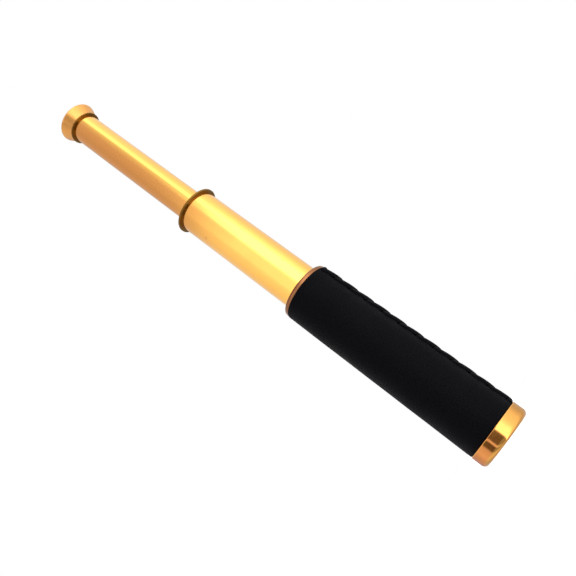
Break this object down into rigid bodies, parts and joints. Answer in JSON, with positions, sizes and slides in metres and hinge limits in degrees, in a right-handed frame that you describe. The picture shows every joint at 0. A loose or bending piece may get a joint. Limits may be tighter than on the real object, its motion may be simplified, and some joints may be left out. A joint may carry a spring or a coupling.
{
  "type": "pocket telescope",
  "caption": "Hand-held draw telescope: leather-sewn brass barrel, sliding brass draw tubes, objective lenses, image erector and a flared eyecup.",
  "frame": {"origin": "centre of the objective cell's rim, the face that the telescope stands on", "axes": "+Z along the optical axis from the objective to the eyecup, +X through the middle of the leather sleeve's sewn seam"},
  "size_m": [0.026, 0.0254, 0.2394],
  "materials": {
    "polished_brass": "turned and polished",
    "lacquered_brass": "drawn tube, lacquered",
    "darkened_brass": "tarnished in the edge",
    "plain_brass": "as machined",
    "spring_brass": "hard drawn, burnished by sliding",
    "blackened_brass": "matt black",
    "black_leather": "smooth, faint sheen",
    "waxed_thread": "waxed",
    "lens_glass": "polished"
  },
  "bodies": {
    "barrel": {"objective_cell": "polished_brass", "crown_lens": "lens_glass", "flint_lens": "lens_glass", "objective_retaining_ring": "blackened_brass", "barrel_tube": "plain_brass", "leather_sleeve": "black_leather", "seam_thread": "waxed_thread", "barrel_collar": "lacquered_brass", "barrel_bush": "spring_brass"},
    "main_guide": {"main_guide_ring": "spring_brass"},
    "main_draw": {"main_draw_tube": "lacquered_brass", "main_stop_ring": "plain_brass", "main_draw_flange": "darkened_brass", "main_draw_bush": "spring_brass"},
    "eye_guide": {"eye_guide_ring": "spring_brass"},
    "eye_draw": {"eye_draw_tube": "lacquered_brass", "eye_stop_ring": "plain_brass", "erector_tube": "blackened_brass", "erector_front_lens": "lens_glass", "erector_front_ring": "blackened_brass", "erector_stop": "blackened_brass", "erector_rear_lens": "lens_glass", "erector_rear_ring": "blackened_brass", "field_cell": "blackened_brass", "field_lens": "lens_glass", "field_ring": "blackened_brass", "eyepiece_collar": "darkened_brass", "eye_lens": "lens_glass", "eye_lens_ring": "blackened_brass", "eyecup": "polished_brass"}
  },
  "joints": [
    {"name": "main_draw_slide", "type": "slide", "parent": "barrel", "child": "main_guide", "axis": [0, 0, 1], "range_m": [-0.0612, 0.0112]},
    {"name": "main_draw_turn", "type": "hinge", "parent": "main_guide", "child": "main_draw", "pos_m": [0, 0, 0.07325], "axis": [0, 0, 1], "continuous": true},
    {"name": "eye_draw_slide", "type": "slide", "parent": "main_draw", "child": "eye_guide", "axis": [0, 0, 1], "range_m": [-0.075, 0.0009]},
    {"name": "eye_draw_turn", "type": "hinge", "parent": "eye_guide", "child": "eye_draw", "pos_m": [0, 0, 0.1477], "axis": [0, 0, 1], "continuous": true}
  ]
}
